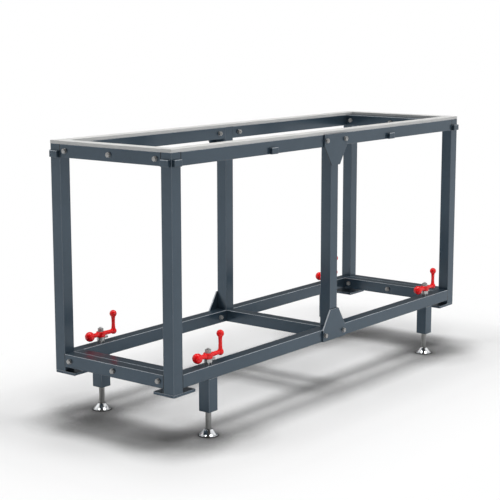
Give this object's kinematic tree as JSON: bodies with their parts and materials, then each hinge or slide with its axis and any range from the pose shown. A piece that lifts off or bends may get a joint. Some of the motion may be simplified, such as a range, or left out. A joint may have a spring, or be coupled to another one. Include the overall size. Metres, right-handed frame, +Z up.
{
  "type": "stone fabrication table",
  "caption": "Bolted square-tube table frame with strips on its top rails, splice gussets and screw jacks: ball cranks over the low rails wind polished rams on bell feet",
  "frame": {"origin": "on the floor under the middle of the frame, level with the feet's undersides", "axes": "X along the table, Y across it towards the back, Z up"},
  "size_m": [2.024, 0.6288, 1.085],
  "materials": {
    "coat": "blue-grey semi-gloss powder coat",
    "strip": "off-white hard rubber, fine grained",
    "zinc": "bright zinc plate",
    "steel": "turned steel",
    "polished": "polished hard chrome",
    "bronze": "turned bronze",
    "crank": "gloss red enamel"
  },
  "bodies": {
    "frame_body": {"front_left_post": "coat", "front_mid_post": "coat", "front_right_post": "coat", "back_left_post": "coat", "back_mid_post": "coat", "back_right_post": "coat", "front_left_top_rail": "coat", "front_left_low_rail": "coat", "front_right_top_rail": "coat", "front_right_low_rail": "coat", "back_left_top_rail": "coat", "back_left_low_rail": "coat", "back_right_top_rail": "coat", "back_right_low_rail": "coat", "left_top_end_rail": "coat", "left_low_end_rail": "coat", "right_top_end_rail": "coat", "right_low_end_rail": "coat", "left_top_cross_beam": "coat", "left_low_cross_beam": "coat", "right_top_cross_beam": "coat", "right_low_cross_beam": "coat", "mid_cross_tube": "coat", "side_strips": "strip", "end_strips": "strip", "gusset_plates": "coat", "base_plates": "coat", "rail_lugs": "coat", "end_bolts": "zinc", "gusset_bolts": "zinc", "frame_nuts": "zinc", "frame_washers": "zinc", "jack_sleeves": "coat", "jack_bushes": "bronze", "bearing_heads": "steel", "head_studs": "steel"},
    "front_left_crank_body": {"front_left_spindle": "steel", "front_left_crank": "crank", "front_left_crank_nut": "zinc"},
    "front_left_ram_body": {"front_left_ram": "polished"},
    "front_left_foot_body": {"front_left_foot": "polished"},
    "front_left_lock_body": {"front_left_lock_screw": "steel"},
    "front_right_crank_body": {"front_right_spindle": "steel", "front_right_crank": "crank", "front_right_crank_nut": "zinc"},
    "front_right_ram_body": {"front_right_ram": "polished"},
    "front_right_foot_body": {"front_right_foot": "polished"},
    "front_right_lock_body": {"front_right_lock_screw": "steel"},
    "back_left_crank_body": {"back_left_spindle": "steel", "back_left_crank": "crank", "back_left_crank_nut": "zinc"},
    "back_left_ram_body": {"back_left_ram": "polished"},
    "back_left_foot_body": {"back_left_foot": "polished"},
    "back_left_lock_body": {"back_left_lock_screw": "steel"},
    "back_right_crank_body": {"back_right_spindle": "steel", "back_right_crank": "crank", "back_right_crank_nut": "zinc"},
    "back_right_ram_body": {"back_right_ram": "polished"},
    "back_right_foot_body": {"back_right_foot": "polished"},
    "back_right_lock_body": {"back_right_lock_screw": "steel"}
  },
  "joints": [
    {"name": "front_left_crank_turn", "type": "hinge", "parent": "frame_body", "child": "front_left_crank_body", "pos_m": [-0.78, -0.275, 0.2885], "axis": [0, 0, 1], "range_deg": [-5040, 2880]},
    {"name": "front_left_ram_slide", "type": "slide", "parent": "frame_body", "child": "front_left_ram_body", "axis": [0, 0, -1], "range_m": [-0.056, 0.032]},
    {"name": "front_left_foot_tilt", "type": "hinge", "parent": "front_left_ram_body", "child": "front_left_foot_body", "pos_m": [-0.78, -0.275, 0.011], "axis": [0, 1, 0], "range_deg": [-6, 6]},
    {"name": "front_left_lock_turn", "type": "hinge", "parent": "frame_body", "child": "front_left_lock_body", "pos_m": [-0.78, -0.275, 0.2885], "axis": [1, 0, 0], "range_deg": [0, 180]},
    {"name": "front_right_crank_turn", "type": "hinge", "parent": "frame_body", "child": "front_right_crank_body", "pos_m": [0.78, -0.275, 0.2885], "axis": [0, 0, 1], "range_deg": [-5040, 2880]},
    {"name": "front_right_ram_slide", "type": "slide", "parent": "frame_body", "child": "front_right_ram_body", "axis": [0, 0, -1], "range_m": [-0.056, 0.032]},
    {"name": "front_right_foot_tilt", "type": "hinge", "parent": "front_right_ram_body", "child": "front_right_foot_body", "pos_m": [0.78, -0.275, 0.011], "axis": [0, 1, 0], "range_deg": [-6, 6]},
    {"name": "front_right_lock_turn", "type": "hinge", "parent": "frame_body", "child": "front_right_lock_body", "pos_m": [0.78, -0.275, 0.2885], "axis": [1, 0, 0], "range_deg": [0, 180]},
    {"name": "back_left_crank_turn", "type": "hinge", "parent": "frame_body", "child": "back_left_crank_body", "pos_m": [-0.78, 0.275, 0.2885], "axis": [0, 0, 1], "range_deg": [-5040, 2880]},
    {"name": "back_left_ram_slide", "type": "slide", "parent": "frame_body", "child": "back_left_ram_body", "axis": [0, 0, -1], "range_m": [-0.056, 0.032]},
    {"name": "back_left_foot_tilt", "type": "hinge", "parent": "back_left_ram_body", "child": "back_left_foot_body", "pos_m": [-0.78, 0.275, 0.011], "axis": [0, 1, 0], "range_deg": [-6, 6]},
    {"name": "back_left_lock_turn", "type": "hinge", "parent": "frame_body", "child": "back_left_lock_body", "pos_m": [-0.78, 0.275, 0.2885], "axis": [1, 0, 0], "range_deg": [0, 180]},
    {"name": "back_right_crank_turn", "type": "hinge", "parent": "frame_body", "child": "back_right_crank_body", "pos_m": [0.78, 0.275, 0.2885], "axis": [0, 0, 1], "range_deg": [-5040, 2880]},
    {"name": "back_right_ram_slide", "type": "slide", "parent": "frame_body", "child": "back_right_ram_body", "axis": [0, 0, -1], "range_m": [-0.056, 0.032]},
    {"name": "back_right_foot_tilt", "type": "hinge", "parent": "back_right_ram_body", "child": "back_right_foot_body", "pos_m": [0.78, 0.275, 0.011], "axis": [0, 1, 0], "range_deg": [-6, 6]},
    {"name": "back_right_lock_turn", "type": "hinge", "parent": "frame_body", "child": "back_right_lock_body", "pos_m": [0.78, 0.275, 0.2885], "axis": [1, 0, 0], "range_deg": [0, 180]}
  ],
  "couplings": [
    {"joint": "front_left_ram_slide", "follows": "front_left_crank_turn", "m_per_rad": 0.0006366},
    {"joint": "front_right_ram_slide", "follows": "front_right_crank_turn", "m_per_rad": 0.0006366},
    {"joint": "back_left_ram_slide", "follows": "back_left_crank_turn", "m_per_rad": 0.0006366},
    {"joint": "back_right_ram_slide", "follows": "back_right_crank_turn", "m_per_rad": 0.0006366}
  ]
}
